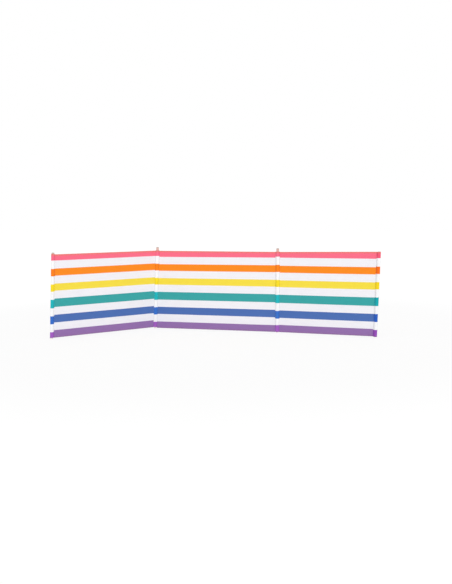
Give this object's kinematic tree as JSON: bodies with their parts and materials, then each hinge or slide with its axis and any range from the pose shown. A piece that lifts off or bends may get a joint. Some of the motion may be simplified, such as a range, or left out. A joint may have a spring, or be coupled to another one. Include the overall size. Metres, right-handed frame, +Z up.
{
  "type": "beach windbreak",
  "caption": "Striped cloth windbreak in three bays, stretched between round wooden poles that slide through sewn pockets and stand in the ground.",
  "frame": {"origin": "middle of the left middle pole's foot, at ground level, seen from the sheltered side", "axes": "+X along the middle bay to the right middle pole, +Y away from the sheltered side, +Z up"},
  "size_m": [3.073, 0.9703, 0.8554],
  "materials": {
    "pole_wood": "smooth planed wood",
    "striped_cloth": "printed matt cloth, rainbow stripes",
    "pocket_cloth": "printed matt cloth, two layers",
    "hem_cloth": "printed matt cloth, folded hem",
    "thread": "sewing thread"
  },
  "bodies": {
    "root": {"left_end_pole": "pole_wood", "left_end_pocket": "pocket_cloth", "left_end_pocket_top_hem": "pocket_cloth", "left_end_pocket_bottom_hem": "pocket_cloth", "left_middle_pole": "pole_wood", "left_middle_pocket_front": "pocket_cloth", "left_middle_pocket_back": "pocket_cloth", "left_middle_pocket_top_hem": "pocket_cloth", "left_middle_pocket_bottom_hem": "pocket_cloth", "right_middle_pole": "pole_wood", "right_middle_pocket_front": "pocket_cloth", "right_middle_pocket_back": "pocket_cloth", "right_middle_pocket_top_hem": "pocket_cloth", "right_middle_pocket_bottom_hem": "pocket_cloth", "right_end_pole": "pole_wood", "right_end_pocket": "pocket_cloth", "right_end_pocket_top_hem": "pocket_cloth", "right_end_pocket_bottom_hem": "pocket_cloth", "left_panel": "striped_cloth", "left_top_hem": "hem_cloth", "left_bottom_hem": "hem_cloth", "middle_panel": "striped_cloth", "middle_top_hem": "hem_cloth", "middle_bottom_hem": "hem_cloth", "right_panel": "striped_cloth", "right_top_hem": "hem_cloth", "right_bottom_hem": "hem_cloth"}
  },
  "joints": []
}
